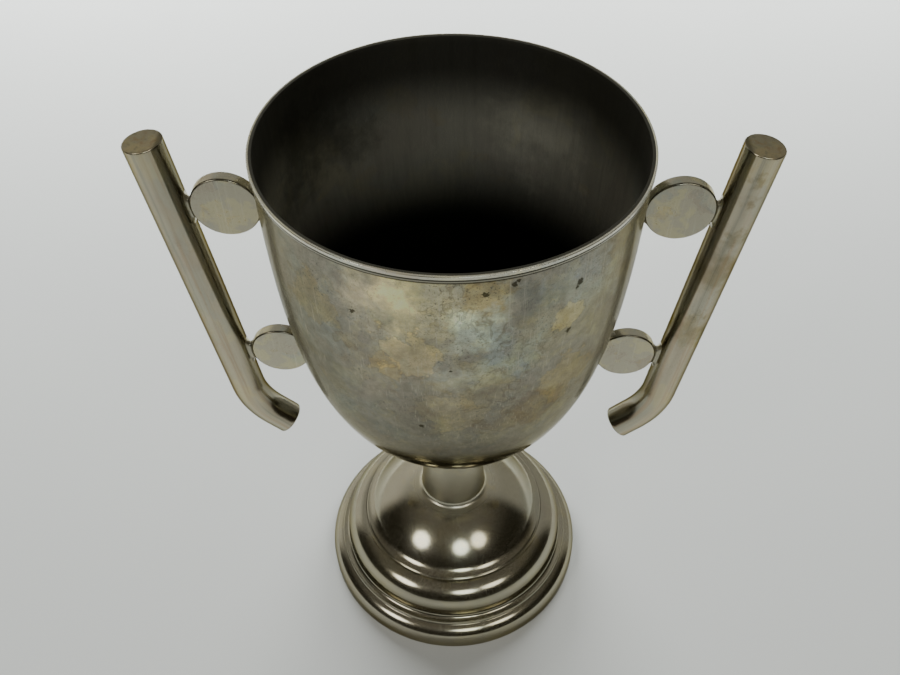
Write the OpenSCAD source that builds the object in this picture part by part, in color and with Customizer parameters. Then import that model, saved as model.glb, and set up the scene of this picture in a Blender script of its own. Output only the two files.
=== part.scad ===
// Two-handled cup trophy on a spun foot.
// Millimetres. Z points up along the cup's axis and z = 0 is the plane it stands on.
// The handles lie on the X axis. Every ring, seat and joint is worked out from the sizes below.

/* [Bowl] */
// Outer radius of the bowl at its mouth
bowl_r = 42.4; // [30:0.1:60]
// Depth of the curve that shapes the bowl, from the mouth to its lowest point
bowl_h = 91; // [60:0.5:130]
// Wall thickness of the bowl
bowl_wall = 0.75; // [0.5:0.05:1.5]
// How long the sides stay upright before they turn in (higher is straighter)
side_power = 2.72; // [2:0.01:4]
// How full the floor is (higher is flatter)
floor_power = 3.19; // [2:0.01:4]
// Radius of the flat seat under the bowl
seat_r = 9; // [7:0.1:12]
// Thickness of the wire ring around the mouth
rim_wire_w = 0.4; // [0.3:0.05:1]
// Height of the wire ring around the mouth
rim_wire_h = 1.5; // [1:0.1:4]

/* [Handles] */
// Diameter of the round handle bar
bar_d = 9; // [6:0.1:14]
// Length of bar above the upper disc
bar_above = 18.4; // [10:0.1:30]
// Length of straight bar below the lower disc
bar_below = 13.3; // [6:0.1:25]
// Radius of the bend at the bottom of the bar
bend_r = 20; // [12:0.5:30]
// Angle of the bend at the bottom of the bar
bend_angle = 38.4; // [10:0.1:60]
// Length of the short straight end after the bend
bar_tail = 5.6; // [2:0.1:15]
// Radius that breaks the edge of each bar end
bar_edge = 0.4; // [0.2:0.05:1]
// Radius of the upper discs
upper_disc_r = 7.95; // [5:0.05:12]
// Radius of the lower discs
lower_disc_r = 7.6; // [5:0.05:12]
// Thickness of the discs
disc_t = 3.2; // [2:0.1:6]
// Radius that rounds the edges of the discs
disc_edge = 0.45; // [0.2:0.05:0.9]
// Depth of the upper discs' centres below the mouth
upper_disc_drop = 18.5; // [12:0.1:30]
// Distance between the centres of an upper disc and the disc below it
disc_pitch = 48.3; // [30:0.1:60]

/* [Solder joints] */
// Gap between the bowl and an upper disc, level with the disc's centre
upper_bowl_gap = 0.8; // [0.3:0.05:3]
// Gap between the bowl and a lower disc, level with the disc's centre
lower_bowl_gap = 2.2; // [0.3:0.05:4]
// Gap between an upper disc and its bar
upper_bar_gap = 0.5; // [0.2:0.05:2]
// Gap between a lower disc and its bar
lower_bar_gap = 1; // [0.2:0.05:2]
// Height of the solder between a disc and its bar
bar_joint_h = 6.5; // [4:0.1:9]
// Height of the solder between a disc and the bowl
bowl_joint_h = 10; // [5:0.1:12]
// Width that the solder leaves bare at each edge of a disc
joint_margin = 0.1; // [0:0.05:0.5]

/* [Stem and collar] */
// Height of the foot together with its stem
stem_top = 63.9; // [50:0.1:90]
// Outer radius of the stem just above its flare
stem_r = 9.6; // [7:0.1:14]
// How much the stem narrows towards its top
stem_taper = 1.6; // [0:0.1:3]
// Radius of the flare between the stem and the dome
flare_r = 2; // [1:0.1:8]
// Height of the collar between the stem and the bowl
collar_h = 6; // [4:0.1:12]
// How far the collar's bead stands out from the top of the stem
collar_bead = 1.2; // [0.4:0.1:3]

/* [Foot] */
// Outer radius of the foot
foot_r = 40.15; // [30:0.05:55]
// Wall thickness of the foot
foot_wall = 0.9; // [0.6:0.05:1.5]
// Radius of the round bead at the foot's edge
rim_bead_r = 4.95; // [3:0.05:8]
// Height of the centre of the foot's edge bead
rim_bead_z = 3; // [2:0.1:6]
// Width of the foot's edge bead, from the step to the outside
rim_bead_w = 3.75; // [2:0.05:4.5]
// Height of the small step above the foot's edge bead
step_h = 1; // [0.4:0.05:2]
// Width of the ledge between the step and the wall of the torus
ledge_w = 2; // [1.2:0.05:4]
// Radius of the torus
torus_r = 7.8; // [5:0.1:11]
// Height of the centre of the torus
torus_z = 12.3; // [10:0.1:16]
// Depth of the V groove between the torus and the dome's lip
groove_depth = 0.35; // [0.2:0.05:0.6]
// Height of the dome's lip above the torus
lip_h = 0.9; // [0.4:0.05:2]
// Radius of the dome's curve
dome_r = 31; // [20:0.5:45]
// Steepest angle of the dome, just above its lip
dome_edge_angle = 50; // [40:1:65]
// Radius of the hollow curve between the dome and its lip
cove_r = 5.6; // [3:0.1:8]
// Width of the turned-in edge that the trophy stands on
lip_in = 2.4; // [1.5:0.1:5]

/* [Fastening] */
// Diameter of the tie stud
stud_d = 5; // [4:0.5:8]
// Outer radius of the threaded boss under the bowl
boss_r = 5; // [4:0.1:7]
// How far the washer inside the foot reaches past the stem
washer_lap = 3.4; // [2:0.1:6]
// Thickness of the washer inside the foot
washer_t = 1.6; // [1:0.1:3]
// Width of the nut across its flats
nut_flats = 8; // [7:0.5:13]
// Height of the nut
nut_h = 4; // [3:0.1:8]
// Thickness of the boss left solid above the stud
boss_roof = 1.5; // [1:0.1:3]
// Length of stud that shows below the nut
stud_tail = 2; // [1:0.5:6]
// Radial clearance between fastening pieces that slide together
fit_gap = 0.05; // [0.02:0.01:0.2]

/* [Hidden] */
$fn = 96;
satin = [0.62, 0.61, 0.56];
bright = [0.72, 0.71, 0.67];
dark = [0.30, 0.29, 0.26];
solder = [0.50, 0.49, 0.45];
// How far a cut runs past the face that it opens.
eps = 0.01;
// Steps along the bowl's curve, along a long arc and round a small edge.
profile_steps = 40;
arc_steps = 10;
edge_steps = 5;

// Points along an arc: angles are measured from straight up, towards the outside.
function arc(cr, cz, r, from, to, steps = arc_steps) =
  [for (i = [0 : steps]) let (a = from + (to - from) * i / steps) [cr + r * sin(a), cz + r * cos(a)]];

function reversed(list) = [for (i = [len(list) - 1 : -1 : 0]) list[i]];

// Bowl: its wall is a superellipse that ends at the flat seat.
function curve_r(u, top_r) = top_r * pow(max(0, 1 - pow(u, side_power)), 1 / floor_power);
function curve_u(r, top_r) = pow(1 - pow(r / top_r, floor_power), 1 / side_power);
seat_u = curve_u(seat_r, bowl_r);
seat_z = stem_top + collar_h;
mouth_z = seat_z + bowl_h * seat_u;
function bowl_outer_r(z) = curve_r((mouth_z - z) / bowl_h, bowl_r);

// The curve from the mouth down to radius end_r, with its points closer together near the floor.
function bowl_curve(top_r, depth, end_r) =
  let (end_u = curve_u(end_r, top_r))
  [for (i = [0 : profile_steps])
    let (u = sin(90 * i / profile_steps) * end_u)
    [curve_r(u, top_r), mouth_z - depth * u]];
bowl_outer = bowl_curve(bowl_r, bowl_h, seat_r);
bowl_inner = bowl_curve(bowl_r - bowl_wall, bowl_h - bowl_wall, seat_r);

// Handles: the discs stand off the bowl, and the bar runs along the line that both discs touch.
bar_r = bar_d / 2;
upper_z = mouth_z - upper_disc_drop;
lower_z = upper_z - disc_pitch;
upper_x = bowl_outer_r(upper_z) + upper_bowl_gap + upper_disc_r;
lower_x = bowl_outer_r(lower_z) + lower_bowl_gap + lower_disc_r;
upper_reach = upper_disc_r + upper_bar_gap + bar_r;
lower_reach = lower_disc_r + lower_bar_gap + bar_r;
centre_run = norm([upper_x - lower_x, disc_pitch]);
bar_lean = atan2(upper_x - lower_x, disc_pitch) - asin((lower_reach - upper_reach) / centre_run);
bar_top_x = upper_x + upper_reach * cos(bar_lean) + bar_above * sin(bar_lean);
bar_top_z = upper_z - upper_reach * sin(bar_lean) + bar_above * cos(bar_lean);
disc_run = (upper_x - lower_x) * sin(bar_lean) + disc_pitch * cos(bar_lean);
bar_straight = bar_above + disc_run + bar_below;
joint_t = disc_t - 2 * disc_edge - 2 * joint_margin;
// The straight lengths reach a little way into the bend, and are a hair thinner to stay inside it.
bend_lap = 0.3;
bend_step = 0.02;

// Foot: radii step inwards from the outer edge.
bead_cr = foot_r - rim_bead_r;
step_r = foot_r - rim_bead_w;
bead_angle = asin((step_r - bead_cr) / rim_bead_r);
ledge_z = rim_bead_z + rim_bead_r * cos(bead_angle) + step_h;
torus_out = step_r - ledge_w;
torus_cr = torus_out - torus_r;
// The fillet fills this share of the ledge.
corner_share = 0.7;
corner_r = ledge_w * corner_share;
corner_cr = torus_out + corner_r;
corner_cz = ledge_z + corner_r;
groove_angle = 12;
groove_r = torus_cr + torus_r * sin(groove_angle);
groove_z = torus_z + torus_r * cos(groove_angle);

// The dome steepens to its edge, then a hollow cove flattens out to the lip beside the groove.
lip_angle = 15;
lip_r = groove_r - groove_depth;
cove_cr = lip_r + cove_r * sin(lip_angle);
cove_cz = groove_z + lip_h + cove_r * cos(lip_angle);
dome_cr = cove_cr - (cove_r + dome_r) * sin(dome_edge_angle);
dome_cz = cove_cz - (cove_r + dome_r) * cos(dome_edge_angle);

// The flare touches the dome and the stem.
flare_cr = stem_r + flare_r;
flare_cz = dome_cz + sqrt(pow(dome_r + flare_r, 2) - pow(flare_cr - dome_cr, 2));
flare_angle = asin((flare_cr - dome_cr) / (dome_r + flare_r));
stem_top_r = stem_r - stem_taper;
edge_break = 0.4;
stand_r = foot_r - edge_break;
stand_in = stand_r - lip_in;
stud_r = stud_d / 2;

foot_outer = concat(
  [[stand_r, 0], [foot_r, edge_break]],
  arc(bead_cr, rim_bead_z, rim_bead_r, 90, bead_angle),
  [[step_r, ledge_z]],
  arc(corner_cr, corner_cz, corner_r, 180, 270),
  arc(torus_cr, torus_z, torus_r, 90, groove_angle),
  [[groove_r - groove_depth / 2, groove_z - groove_depth]],
  arc(cove_cr, cove_cz, cove_r, 180 + lip_angle, 180 + dome_edge_angle),
  arc(dome_cr, dome_cz, dome_r, dome_edge_angle, flare_angle, 2 * arc_steps),
  arc(flare_cr, flare_cz, flare_r, 180 + flare_angle, 270),
  [[stem_top_r, stem_top]]
);

// The inside follows the outside, one wall thickness in. It crosses behind the step in a straight
// line, from just short of the bead's top to part of the way round the fillet.
bead_top_angle = 5;
fillet_start_angle = 210;
foot_inner = concat(
  [[stand_in, 0], [stand_in, foot_wall], [foot_r - foot_wall, foot_wall]],
  arc(bead_cr, rim_bead_z, rim_bead_r - foot_wall, 90, bead_top_angle),
  arc(corner_cr, corner_cz, corner_r + foot_wall, fillet_start_angle, 270),
  arc(torus_cr, torus_z, torus_r - foot_wall, 90, groove_angle),
  arc(cove_cr, cove_cz, cove_r + foot_wall, 180 + lip_angle, 180 + dome_edge_angle),
  arc(dome_cr, dome_cz, dome_r - foot_wall, dome_edge_angle, flare_angle, 2 * arc_steps),
  arc(flare_cr, flare_cz, flare_r + foot_wall, 180 + flare_angle, 270),
  [[stem_top_r - foot_wall, stem_top - foot_wall], [stud_r + fit_gap, stem_top - foot_wall]]
);

// Height of the inside of the foot at a radius near the washer's edge.
function dome_inner_z(r) = dome_cz + sqrt(pow(dome_r - foot_wall, 2) - pow(r - dome_cr, 2));
function flare_inner_z(r) = flare_cz - sqrt(pow(flare_r + foot_wall, 2) - pow(flare_cr - r, 2));
flare_meets_r = dome_cr + (dome_r - foot_wall) * sin(flare_angle);
washer_r = stem_r + washer_lap;
washer_top = (washer_r < flare_meets_r ? flare_inner_z(washer_r) : dome_inner_z(washer_r)) - fit_gap;
nut_top = washer_top - washer_t;
// The boss stops short of the foot, so that the nut pulls the collar tight instead.
boss_clearance = 0.5;
boss_h = collar_h - boss_clearance;

module ring_bore(r, z, h) {
  translate([0, 0, z - eps])
    cylinder(h = h + 2 * eps, r = r);
}

module bowl_solid() {
  rotate_extrude($fn = 360)
    polygon(concat([[0, mouth_z]], bowl_outer, [[0, seat_z]]));
}

module bowl() {
  color(satin)
    rotate_extrude()
      polygon(concat([[0, seat_z]], reversed(bowl_outer), bowl_inner, [[0, bowl_inner[profile_steps][1]]]));
}

module rim_wire() {
  top_round = rim_wire_w / 2;
  edge_cr = bowl_r + rim_wire_w - top_round;
  color(satin)
    rotate_extrude()
      polygon(concat(
        [[bowl_r, mouth_z - rim_wire_h]],
        reversed(arc(edge_cr, mouth_z - rim_wire_h + top_round, top_round, 90, 180)),
        reversed(arc(edge_cr, mouth_z - top_round, top_round, 0, 90)),
        [[bowl_r, mouth_z]]));
}

module bowl_boss() {
  color(dark)
    difference() {
      translate([0, 0, seat_z - boss_h])
        cylinder(h = boss_h, r = boss_r);
      ring_bore(stud_r, seat_z - boss_h - boss_roof, boss_h);
    }
}

module stem_collar() {
  bead_r = collar_h / 4;
  bead_c = stem_top_r + collar_bead - bead_r;
  color(bright)
    rotate_extrude()
      polygon(concat(
        [[boss_r + fit_gap, stem_top], [stem_top_r, stem_top]],
        reversed(arc(bead_c, stem_top + collar_h / 2, bead_r, 0, 180)),
        [[stem_top_r, seat_z], [boss_r + fit_gap, seat_z]]));
}

module foot() {
  color(bright)
    rotate_extrude()
      polygon(concat(foot_outer, [[stud_r + fit_gap, stem_top]], reversed(foot_inner)));
}

module tie_stud() {
  bottom = nut_top - nut_h - stud_tail;
  color(dark)
    translate([0, 0, bottom])
      cylinder(h = seat_z - boss_roof - fit_gap - bottom, r = stud_r - fit_gap);
}

module cup_washer() {
  color(dark)
    difference() {
      translate([0, 0, nut_top])
        cylinder(h = washer_t, r = washer_r);
      ring_bore(stud_r + fit_gap, nut_top, washer_t);
    }
}

module hex_nut() {
  color(dark)
    difference() {
      translate([0, 0, nut_top - nut_h])
        cylinder(h = nut_h, r = nut_flats / 2 / cos(30), $fn = 6);
      ring_bore(stud_r, nut_top - nut_h, nut_h);
    }
}

// The straight length of a bar, from z = 0 down, with its top edge rounded.
module bar_top() {
  r = bar_r - bend_step;
  rotate_extrude()
    polygon(concat(
      [[0, -bar_straight - bend_lap], [r, -bar_straight - bend_lap]],
      reversed(arc(r - bar_edge, -bar_edge, bar_edge, 0, 90, edge_steps)),
      [[0, 0]]));
}

// The short end after the bend, from z = 0 down, with its bottom edge rounded.
module bar_bottom() {
  r = bar_r - bend_step;
  rotate_extrude()
    polygon(concat(
      [[0, -bar_tail]],
      reversed(arc(r - bar_edge, bar_edge - bar_tail, bar_edge, 90, 180, edge_steps)),
      [[r, bend_lap], [0, bend_lap]]));
}

module bar() {
  color(satin)
    translate([bar_top_x, 0, bar_top_z])
      rotate([0, bar_lean, 0]) {
        bar_top();
        translate([-bend_r, 0, -bar_straight])
          rotate([-90, 0, 0])
            rotate_extrude(angle = bend_angle)
              translate([bend_r, 0])
                circle(r = bar_r);
        translate([bend_r * (cos(bend_angle) - 1), 0, -bar_straight - bend_r * sin(bend_angle)])
          rotate([0, bend_angle, 0])
            bar_bottom();
      }
}

module disc_at(x, z, r) {
  half = disc_t / 2;
  color(satin)
    translate([x, 0, z])
      rotate([90, 0, 0])
        rotate_extrude()
          polygon(concat(
            [[0, -half]],
            reversed(arc(r - disc_edge, disc_edge - half, disc_edge, 90, 180, edge_steps)),
            reversed(arc(r - disc_edge, half - disc_edge, disc_edge, 0, 90, edge_steps)),
            [[0, half]]));
}

module disc_bore(r) {
  rotate([90, 0, 0])
    cylinder(h = 2 * disc_t, r = r, center = true, $fn = 360);
}

// Solder between a disc and its bar: fits the round edge of the one and the side of the other.
module bar_joint(x, z, r, reach) {
  color(solder)
    translate([x, 0, z])
      rotate([0, bar_lean, 0])
        difference() {
          translate([0, -joint_t / 2, -bar_joint_h / 2])
            cube([reach, joint_t, bar_joint_h]);
          disc_bore(r);
          translate([reach, 0, 0])
            cylinder(h = 2 * bar_joint_h, r = bar_r, center = true, $fn = 360);
        }
}

// Solder between a disc and the bowl: it faces the nearest point of the bowl's wall.
module bowl_joint(x, z, r, gap) {
  wall_lean = atan((bowl_outer_r(z + r / 2) - bowl_outer_r(z)) / (r / 2));
  color(solder)
    difference() {
      translate([x, 0, z])
        rotate([0, wall_lean, 0])
          translate([-r - 2 * gap, -joint_t / 2, -bowl_joint_h / 2])
            cube([r + 2 * gap, joint_t, bowl_joint_h]);
      translate([x, 0, z])
        disc_bore(r);
      bowl_solid();
    }
}

module on_left() {
  mirror([1, 0, 0])
    children();
}

bowl();
rim_wire();
bowl_boss();
stem_collar();
foot();
tie_stud();
cup_washer();
hex_nut();
on_left() bar();  // left_bar
bar();  // right_bar
on_left() disc_at(upper_x, upper_z, upper_disc_r);  // left_upper_disc
disc_at(upper_x, upper_z, upper_disc_r);  // right_upper_disc
on_left() disc_at(lower_x, lower_z, lower_disc_r);  // left_lower_disc
disc_at(lower_x, lower_z, lower_disc_r);  // right_lower_disc
on_left() bar_joint(upper_x, upper_z, upper_disc_r, upper_reach);  // left_upper_bar_joint
bar_joint(upper_x, upper_z, upper_disc_r, upper_reach);  // right_upper_bar_joint
on_left() bar_joint(lower_x, lower_z, lower_disc_r, lower_reach);  // left_lower_bar_joint
bar_joint(lower_x, lower_z, lower_disc_r, lower_reach);  // right_lower_bar_joint
on_left() bowl_joint(upper_x, upper_z, upper_disc_r, upper_bowl_gap);  // left_upper_bowl_joint
bowl_joint(upper_x, upper_z, upper_disc_r, upper_bowl_gap);  // right_upper_bowl_joint
on_left() bowl_joint(lower_x, lower_z, lower_disc_r, lower_bowl_gap);  // left_lower_bowl_joint
bowl_joint(lower_x, lower_z, lower_disc_r, lower_bowl_gap);  // right_lower_bowl_joint
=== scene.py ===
# %% [markdown]
# # A two-handled cup trophy
# A deep spun bowl stands on a spun foot. On each side a round bar hangs on two discs, and small
# necks of solder hold every disc to its bar and to the bowl. The cup was silver plated and has
# tarnished: the bowl is satin and blotched, and the foot still shines like a mirror.
#
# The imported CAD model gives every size. This lesson puts a smooth, finished surface over it, one
# piece at a time, then lights it like a small tabletop studio.

import bpy
import numpy as np
from mathutils import Matrix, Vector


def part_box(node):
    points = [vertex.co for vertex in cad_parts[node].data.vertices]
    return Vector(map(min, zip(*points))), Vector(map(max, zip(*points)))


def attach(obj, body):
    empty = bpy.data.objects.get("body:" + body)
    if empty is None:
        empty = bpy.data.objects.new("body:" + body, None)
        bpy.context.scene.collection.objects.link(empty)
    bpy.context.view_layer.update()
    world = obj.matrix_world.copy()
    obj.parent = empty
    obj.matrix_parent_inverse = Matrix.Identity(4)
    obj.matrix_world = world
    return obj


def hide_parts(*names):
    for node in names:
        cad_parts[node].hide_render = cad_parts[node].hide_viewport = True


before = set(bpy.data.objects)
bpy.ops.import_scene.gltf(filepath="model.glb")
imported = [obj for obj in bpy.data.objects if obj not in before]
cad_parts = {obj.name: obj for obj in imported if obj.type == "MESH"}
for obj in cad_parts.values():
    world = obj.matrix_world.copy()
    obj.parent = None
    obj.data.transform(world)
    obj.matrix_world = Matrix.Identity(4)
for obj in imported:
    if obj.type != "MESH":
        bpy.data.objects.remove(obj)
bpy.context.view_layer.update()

# %% [markdown]
# ## The camera
# The camera stands close by, a little above the rim, and looks down into the bowl at about
# 47 degrees. A short lens that close makes the foot look small and the mouth look wide. The
# camera's matrix is built from its three axes, because a slight roll is easy to write that way.

# %% Place the camera
MM = 0.001
PITCH, YAW, ROLL = np.radians([47.403, -1.555, 0.474])
CAMERA_AT = np.array([3.59, -158.16, 270.50]) * MM

forward = np.array([np.sin(YAW) * np.cos(PITCH), np.cos(YAW) * np.cos(PITCH), -np.sin(PITCH)])
level = np.array([np.cos(YAW), -np.sin(YAW), 0.0])
down = np.cross(forward, level)
right = np.cos(ROLL) * level + np.sin(ROLL) * down
up = np.sin(ROLL) * level - np.cos(ROLL) * down

camera_data = bpy.data.cameras.new("camera")
camera_data.sensor_width = 36.0
camera_data.lens = 35.874
camera_data.clip_start = 0.01
camera = bpy.data.objects.new("camera", camera_data)
axes = np.column_stack([right, up, -forward])
camera.matrix_world = Matrix.Translation(CAMERA_AT) @ Matrix(axes.tolist()).to_4x4()
bpy.context.scene.collection.objects.link(camera)
bpy.context.scene.camera = camera
print("camera at", CAMERA_AT, "m, looking", forward.round(3))

# %% [markdown]
# ## Helpers for shapes
# Every piece here is a grid of points: rows along a profile or a path, and columns around it.
# numpy works out all the points at once, and one helper turns any grid into a closed mesh.

# %% Turn a grid of points into a mesh
SHOWN = {}


def grid_mesh(name, points, loop_rows=False, extra=None):
    """A closed mesh from points of shape (rows, columns, 3). Each cell becomes a four-sided face,
    and the columns always join up. The rows join up too if loop_rows is set. Otherwise the first
    and the last row are each closed by a fan to the row's mean. Faces are turned outwards: the
    solid's volume is a sixth of the sum of a . (b x c) over its triangles, and must be positive."""
    rows, cols, _ = points.shape
    number = np.arange(rows * cols).reshape(rows, cols)
    below = number if loop_rows else number[:-1]
    above = np.roll(number, -1, 0) if loop_rows else number[1:]
    quads = np.stack([below, np.roll(below, -1, 1), np.roll(above, -1, 1), above], -1)
    quads = quads.reshape(-1, 4)
    vertices = points.reshape(-1, 3)
    fans = np.zeros((0, 3), int)
    if not loop_rows:
        ends = points[[0, -1]].mean(1)
        first, last = number[0], number[-1]
        hub = rows * cols
        fans = np.concatenate([
            np.stack([np.roll(first, -1), first, np.full(cols, hub)], 1),
            np.stack([last, np.roll(last, -1), np.full(cols, hub + 1)], 1)])
        vertices = np.concatenate([vertices, ends])
    corners = np.concatenate([quads[:, [0, 1, 2]], quads[:, [0, 2, 3]], fans])
    a, b, c = vertices[corners[:, 0]], vertices[corners[:, 1]], vertices[corners[:, 2]]
    if (a * np.cross(b, c)).sum() < 0:
        quads, fans = quads[:, ::-1], fans[:, ::-1]
    mesh = bpy.data.meshes.new(name)
    mesh.from_pydata(vertices.tolist(), [], quads.tolist() + fans.tolist())
    mesh.polygons.foreach_set("use_smooth", np.ones(len(mesh.polygons), bool))
    if extra is not None:
        values = extra.reshape(-1, 3)
        if not loop_rows:
            values = np.concatenate([values, extra[[0, -1]].mean(1)])
        layer = mesh.attributes.new("unbent", "FLOAT_VECTOR", "POINT")
        layer.data.foreach_set("vector", values.astype(np.float32).ravel())
    mesh.update()
    piece = bpy.data.objects.new(name, mesh)
    bpy.context.scene.collection.objects.link(piece)
    return piece


def finish_piece(piece, material_slot, *nodes):
    """Rides the piece on the one body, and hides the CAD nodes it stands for."""
    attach(piece, "root")
    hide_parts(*nodes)
    SHOWN[piece.name] = piece
    size = np.array([c[:] for c in piece.bound_box])
    print(f"{piece.name}: {len(piece.data.polygons)} faces, mm", (np.ptp(size, 0) / MM).round(2))
    return piece


# %% Profiles and lathe
def arc(centre_r, centre_z, radius, start, stop, count):
    """Points on a circle, in mm. An angle is measured from straight up, towards the outside, so a
    point is the centre plus the radius times (sin, cos) of its angle."""
    angle = np.radians(np.linspace(start, stop, count))
    return np.stack([centre_r + radius * np.sin(angle), centre_z + radius * np.cos(angle)], 1)


def line(start, stop, count):
    """Evenly spaced points from start to stop, in mm, with both ends left out."""
    share = np.linspace(0, 1, count + 2)[1:-1, None]
    return np.array(start) * (1 - share) + np.array(stop) * share


def lathe(name, profile, turns, loop_rows=True, wobble=None):
    """A surface of revolution: a profile point (r, z) becomes the ring (r cos t, r sin t, z).
    wobble(t, r, z) may add a little to the radius, as a hand at the lathe does."""
    turn = np.arange(turns) * 2 * np.pi / turns
    r, z = profile[:, 0, None], profile[:, 1, None]
    reach = r + (wobble(turn[None, :], r, z) if wobble else 0 * turn)
    x, y = reach * np.cos(turn), reach * np.sin(turn)
    return grid_mesh(name, np.stack([x, y, z + 0 * x], -1) * MM, loop_rows)


# %% [markdown]
# ## The bowl
# A disc of sheet metal was spun over a former until it became this deep cup. Its wall is a
# superellipse: nearly upright at the mouth, round at the floor. One grid runs down the outside,
# across the floor and up the inside, so the wall has its real thickness. Spun metal is never
# quite round, so a few slow waves of hundredths of a millimetre bend the reflections a little.

# %% Sizes of the bowl, in mm
MOUTH_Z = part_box("bowl")[1][2] / MM
BOWL_R, BOWL_DEEP, WALL, SEAT_R, LIP_R = 42.4, 91.0, 0.75, 9.0, 0.12
SIDE_POWER, FLOOR_POWER = 2.72, 3.19
BOWL_TURNS, FLOOR_ROWS = 360, 6


def bowl_radius(z, top_r=BOWL_R, deep=BOWL_DEEP):
    """Radius at a height: top radius times (1 - depth share ^ side power) ^ (1 / floor power)."""
    share = np.clip((MOUTH_Z - z) / deep, 0, 1)
    return top_r * (1 - share ** SIDE_POWER) ** (1 / FLOOR_POWER)


def bowl_curve(top_r, deep, end_r, count):
    """Points from the mouth to end_r. Their depths follow a sine, so they crowd near the floor."""
    end = (1 - (end_r / top_r) ** FLOOR_POWER) ** (1 / SIDE_POWER)
    share = np.sin(np.linspace(0, np.pi / 2, count)) * end
    z = MOUTH_Z - deep * share
    return np.stack([bowl_radius(z, top_r, deep), z], 1)


def spun_wave(turn, r, z):
    """Slow waves round and up the wall, each a sine of angle and height, 0.01 to 0.03 mm high."""
    low = np.minimum(r / 20, 1)
    return low * (0.030 * np.sin(2 * turn + z / 19 + 0.6) + 0.014 * np.sin(5 * turn - z / 11)
                  + 0.008 * np.sin(9 * turn + z / 6 + 2.0))


# %% Make the bowl
outside = bowl_curve(BOWL_R, BOWL_DEEP, SEAT_R, 120)
inside = bowl_curve(BOWL_R - WALL, BOWL_DEEP - WALL, SEAT_R, 100)
lip = arc(BOWL_R - LIP_R, MOUTH_Z - LIP_R, LIP_R, 90, 0, 5)
lip_in = arc(BOWL_R - WALL + LIP_R, MOUTH_Z - LIP_R, LIP_R, 0, -90, 5)
bowl_profile = np.concatenate([
    line([0, outside[-1, 1]], outside[-1], FLOOR_ROWS), outside[::-1][:-1], lip, lip_in,
    inside[1:], line(inside[-1], [0, inside[-1, 1]], FLOOR_ROWS)])
bowl = lathe("bowl_shell", bowl_profile, BOWL_TURNS, loop_rows=False, wobble=spun_wave)
finish_piece(bowl, "satin_plate", "bowl")
rows_outside = FLOOR_ROWS + len(outside) - 1 + len(lip) - 1

# %% [markdown]
# ## The wire round the mouth
# A flat ring is soldered round the rim to stiffen it. Its corners are rounded by wear, and a dark
# line of old polish sits under it. It is a closed loop of profile points turned about the axis.

# %% Make the rim wire
WIRE_W, WIRE_H, WIRE_EDGE, WIRE_SINK = 0.4, 1.5, 0.17, 0.05
wire_out = BOWL_R + WIRE_W
wire_profile = np.concatenate([
    [[BOWL_R - WIRE_SINK, MOUTH_Z - WIRE_H]],
    arc(wire_out - WIRE_EDGE, MOUTH_Z - WIRE_H + WIRE_EDGE, WIRE_EDGE, 180, 90, 7),
    arc(wire_out - WIRE_EDGE, MOUTH_Z - WIRE_EDGE, WIRE_EDGE, 90, 0, 7),
    [[BOWL_R - WIRE_SINK, MOUTH_Z]]])
rim = lathe("rim_ring", wire_profile, BOWL_TURNS, wobble=spun_wave)
finish_piece(rim, "satin_plate", "rim_wire")

# %% [markdown]
# ## The foot
# The foot and its stem were spun from one sheet: a round bead at the edge, a small step, a torus,
# a sharp groove, a hollow cove, a dome and a flare into the stem. Each part is an arc, and the
# arcs touch where the metal flows and meet at an angle where the tool left a crease.

# %% Sizes of the foot, in mm
FOOT_R, FOOT_WALL, FOOT_EDGE, STAND_W, STUD_R = 40.15, 0.9, 0.4, 2.4, 2.55
BEAD_R, BEAD_Z, BEAD_W, STEP_H, LEDGE_W = 4.95, 3.0, 3.75, 1.0, 2.0
TORUS_R, TORUS_Z, GROOVE_DEEP, GROOVE_ANGLE = 7.8, 12.3, 0.35, 12.0
LIP_H, LIP_ANGLE, COVE_R, DOME_R, DOME_ANGLE = 0.9, 15.0, 5.6, 31.0, 50.0
STEM_R, STEM_TAPER, FLARE_R = 9.6, 1.6, 2.0
STEM_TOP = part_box("foot")[1][2] / MM

bead_r = FOOT_R - BEAD_R
step_r = FOOT_R - BEAD_W
bead_angle = np.degrees(np.arcsin((step_r - bead_r) / BEAD_R))
ledge_z = BEAD_Z + BEAD_R * np.cos(np.radians(bead_angle)) + STEP_H
torus_out = step_r - LEDGE_W
torus_r = torus_out - TORUS_R
corner = LEDGE_W * 0.7
groove_r = torus_r + TORUS_R * np.sin(np.radians(GROOVE_ANGLE))
groove_z = TORUS_Z + TORUS_R * np.cos(np.radians(GROOVE_ANGLE))
cove_r = groove_r - GROOVE_DEEP + COVE_R * np.sin(np.radians(LIP_ANGLE))
cove_z = groove_z + LIP_H + COVE_R * np.cos(np.radians(LIP_ANGLE))
dome_r = cove_r - (COVE_R + DOME_R) * np.sin(np.radians(DOME_ANGLE))
dome_z = cove_z - (COVE_R + DOME_R) * np.cos(np.radians(DOME_ANGLE))
flare_r = STEM_R + FLARE_R
flare_z = dome_z + np.sqrt((DOME_R + FLARE_R) ** 2 - (flare_r - dome_r) ** 2)
flare_angle = np.degrees(np.arcsin((flare_r - dome_r) / (DOME_R + FLARE_R)))
stem_top_r = STEM_R - STEM_TAPER
print(f"foot, mm: ledge {ledge_z:.2f}, groove {groove_z:.2f}, flare {flare_z:.2f}")

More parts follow.
